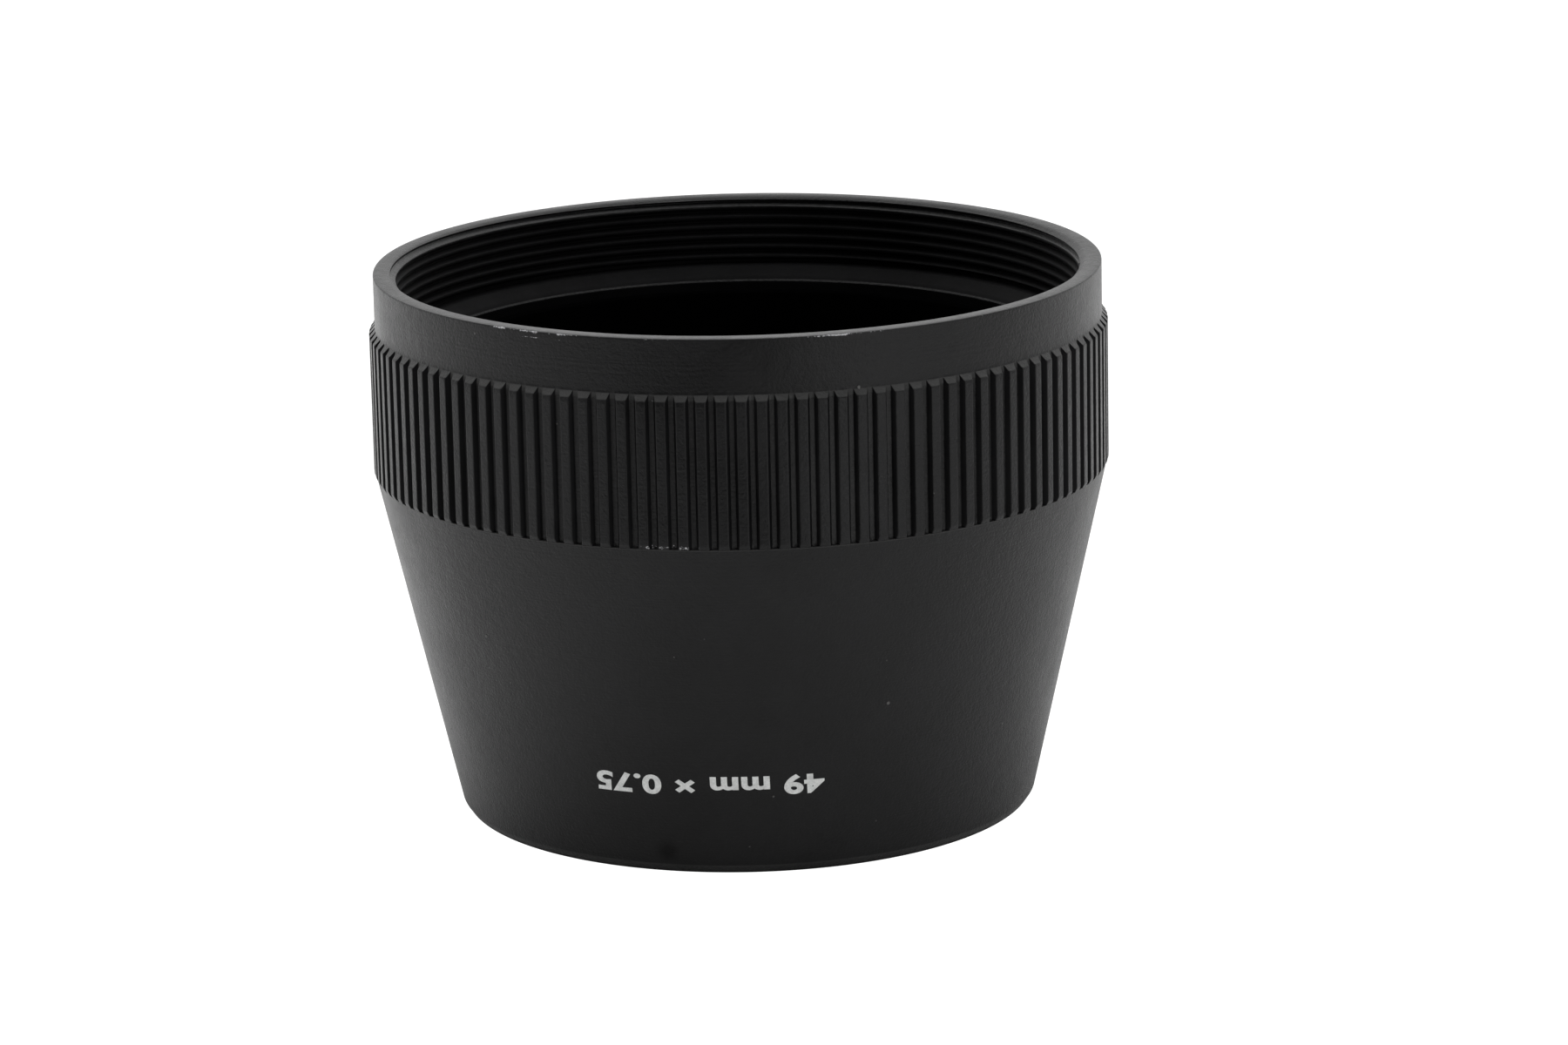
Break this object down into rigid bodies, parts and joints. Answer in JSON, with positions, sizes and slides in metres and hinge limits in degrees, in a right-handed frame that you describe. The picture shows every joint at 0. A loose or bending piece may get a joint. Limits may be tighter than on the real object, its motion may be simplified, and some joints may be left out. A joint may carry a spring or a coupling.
{
  "type": "lens hood",
  "caption": "Conical black metal lens hood with a turning knurled mount ring, an internal screw thread in its wide end and a flocked light-trap lining.",
  "frame": {"origin": "centre of the narrow end's flat foot, on the optical axis", "axes": "+Z along the optical axis from the narrow end up to the wide threaded end; +X and +Y are across it, with the printed mark on the -Y side"},
  "size_m": [0.0522, 0.0522, 0.0388],
  "materials": {
    "cone_paint": "satin black stove paint on aluminium",
    "ring_paint": "satin black stove paint on knurled aluminium",
    "wire_steel": "drawn spring steel",
    "spring_steel": "rolled spring steel",
    "washer_brass": "half-hard brass sheet",
    "felt": "black wool felt, lightly oiled",
    "flock": "matt black flock",
    "front_ring_anodised": "black anodised"
  },
  "bodies": {
    "hood": {"hood_cone": "cone_paint", "snap_wire": "wire_steel", "wave_spring": "spring_steel", "slip_washer": "washer_brass", "drag_felt": "felt", "flock_liner": "flock", "front_ring": "front_ring_anodised"},
    "collar": {"mount_ring": "ring_paint"}
  },
  "joints": [
    {"name": "collar_turn", "type": "hinge", "parent": "hood", "child": "collar", "pos_m": [0, 0, 0.03], "axis": [0, 0, 1], "continuous": true}
  ]
}
